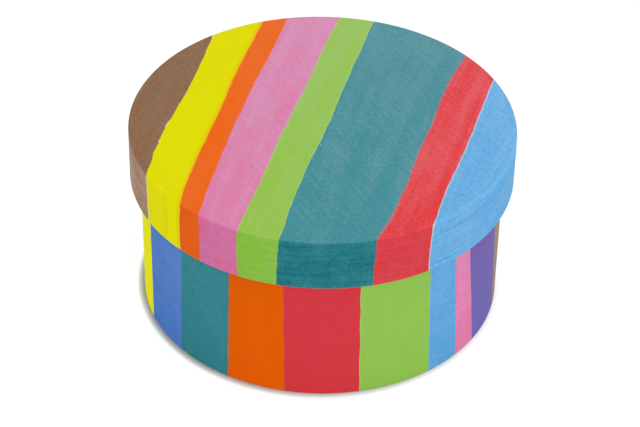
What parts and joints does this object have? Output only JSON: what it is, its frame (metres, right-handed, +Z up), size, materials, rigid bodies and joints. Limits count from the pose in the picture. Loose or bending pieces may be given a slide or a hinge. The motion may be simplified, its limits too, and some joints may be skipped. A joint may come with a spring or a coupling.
{
  "type": "round lidded wooden box",
  "caption": "Round bentwood keepsake box with a lift-off cap lid, hand-painted in broad coloured stripes.",
  "frame": {"origin": "centre of the underside of the floor panel, on the table", "axes": "+Z up along the box's round axis and the way the lid lifts; -Y is the side that faces the viewer in the picture; +X is to that viewer's right"},
  "size_m": [0.12, 0.12, 0.0614],
  "materials": {
    "body_paint": "matt hand-painted acrylic stripes over wood veneer, grain showing through",
    "lid_rim_paint": "matt hand-painted acrylic stripes over wood veneer, grain showing through",
    "lid_top_paint": "matt hand-painted acrylic stripes over plywood, grain showing through",
    "bare_veneer": "bare light veneer, sanded",
    "bare_plywood": "bare light plywood, sanded"
  },
  "bodies": {
    "body": {"body_outer_hoop": "body_paint", "body_inner_hoop": "bare_veneer", "floor_panel": "bare_plywood"},
    "lid": {"lid_outer_hoop": "lid_rim_paint", "lid_inner_hoop": "bare_veneer", "lid_top_panel": "lid_top_paint"}
  },
  "joints": [
    {"name": "lid_lift", "type": "slide", "parent": "body", "child": "lid", "axis": [0, 0, 1], "range_m": [0, 0.08]}
  ]
}
